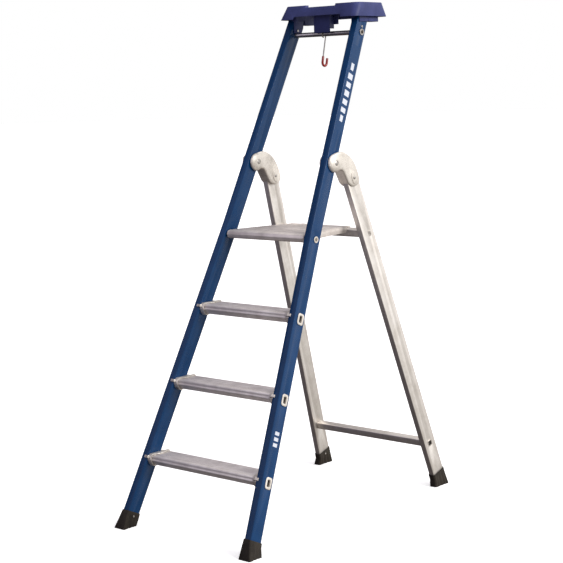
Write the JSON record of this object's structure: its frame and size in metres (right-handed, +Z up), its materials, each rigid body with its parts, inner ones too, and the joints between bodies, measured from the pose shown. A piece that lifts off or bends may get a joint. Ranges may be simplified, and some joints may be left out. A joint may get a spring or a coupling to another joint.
{
  "type": "platform step ladder",
  "caption": "Folding platform step ladder: leaning lacquered stiles with ribbed treads and a hinged platform, rear legs on cast knuckles, tool tray with a swinging hook.",
  "frame": {"origin": "on the floor, in the middle of the rectangle that the four feet cover with the ladder open", "axes": "+Z up; +X across the ladder, to the climber's right; +Y from the treads towards the rear legs, so the climber stands on the -Y side"},
  "size_m": [0.59, 1.081, 1.667],
  "materials": {
    "lacquer": "gloss blue lacquer on aluminium",
    "tread": "ribbed mill-finish extrusion",
    "platform": "satin extrusion",
    "leg": "satin natural aluminium",
    "casting": "bead-blasted die casting",
    "tray": "fine-grained moulding",
    "rubber": "moulded rubber",
    "steel": "zinc-plated",
    "red_dip": "dipped vinyl",
    "nylon": "natural nylon"
  },
  "bodies": {
    "front_frame": {"front_foot_left": "rubber", "front_foot_right": "rubber", "front_foot_rivet_left": "steel", "front_foot_rivet_right": "steel", "guard_bar": "steel", "knuckle_pin_left": "steel", "knuckle_pin_right": "steel", "pivot_washer_inner_left": "nylon", "pivot_washer_inner_right": "nylon", "pivot_washer_outer_left": "nylon", "pivot_washer_outer_right": "nylon", "platform_pivot_left": "steel", "platform_pivot_right": "steel", "step_1_end_left": "casting", "step_1_end_right": "casting", "step_1_tread": "tread", "step_2_end_left": "casting", "step_2_end_right": "casting", "step_2_tread": "tread", "step_3_end_left": "casting", "step_3_end_right": "casting", "step_3_tread": "tread", "stile_left": "lacquer", "stile_right": "lacquer", "tool_tray": "tray", "tray_rivet_left": "steel", "tray_rivet_right": "steel"},
    "rear_frame": {"knuckle_left": "casting", "knuckle_right": "casting", "leg_rivet_left": "steel", "leg_rivet_right": "steel", "lower_crossbar": "leg", "rear_foot_left": "rubber", "rear_foot_right": "rubber", "rear_foot_rivet_left": "steel", "rear_foot_rivet_right": "steel", "rear_leg_left": "leg", "rear_leg_right": "leg", "upper_crossbar": "leg"},
    "platform": {"platform_deck": "platform", "platform_hook_left": "platform", "platform_hook_right": "platform", "platform_nose": "platform", "platform_side_left": "platform", "platform_side_right": "platform"},
    "hook": {"hook_wire": "steel", "hook_sleeve": "red_dip"}
  },
  "joints": [
    {"name": "rear_frame_fold", "type": "hinge", "parent": "front_frame", "child": "rear_frame", "pos_m": [0, 0.04288, 1.1505], "axis": [-1, 0, 0], "range_deg": [0, 42.5]},
    {"name": "platform_tip", "type": "hinge", "parent": "front_frame", "child": "platform", "pos_m": [0, -0.07375, 0.9153], "axis": [1, 0, 0], "range_deg": [0, 63]},
    {"name": "hook_swing", "type": "hinge", "parent": "front_frame", "child": "hook", "pos_m": [0, 0.2399, 1.5695], "axis": [1, 0, 0], "range_deg": [-45, 45]}
  ],
  "couplings": [
    {"joint": "platform_tip", "follows": "rear_frame_fold", "ratio": 1.48}
  ]
}
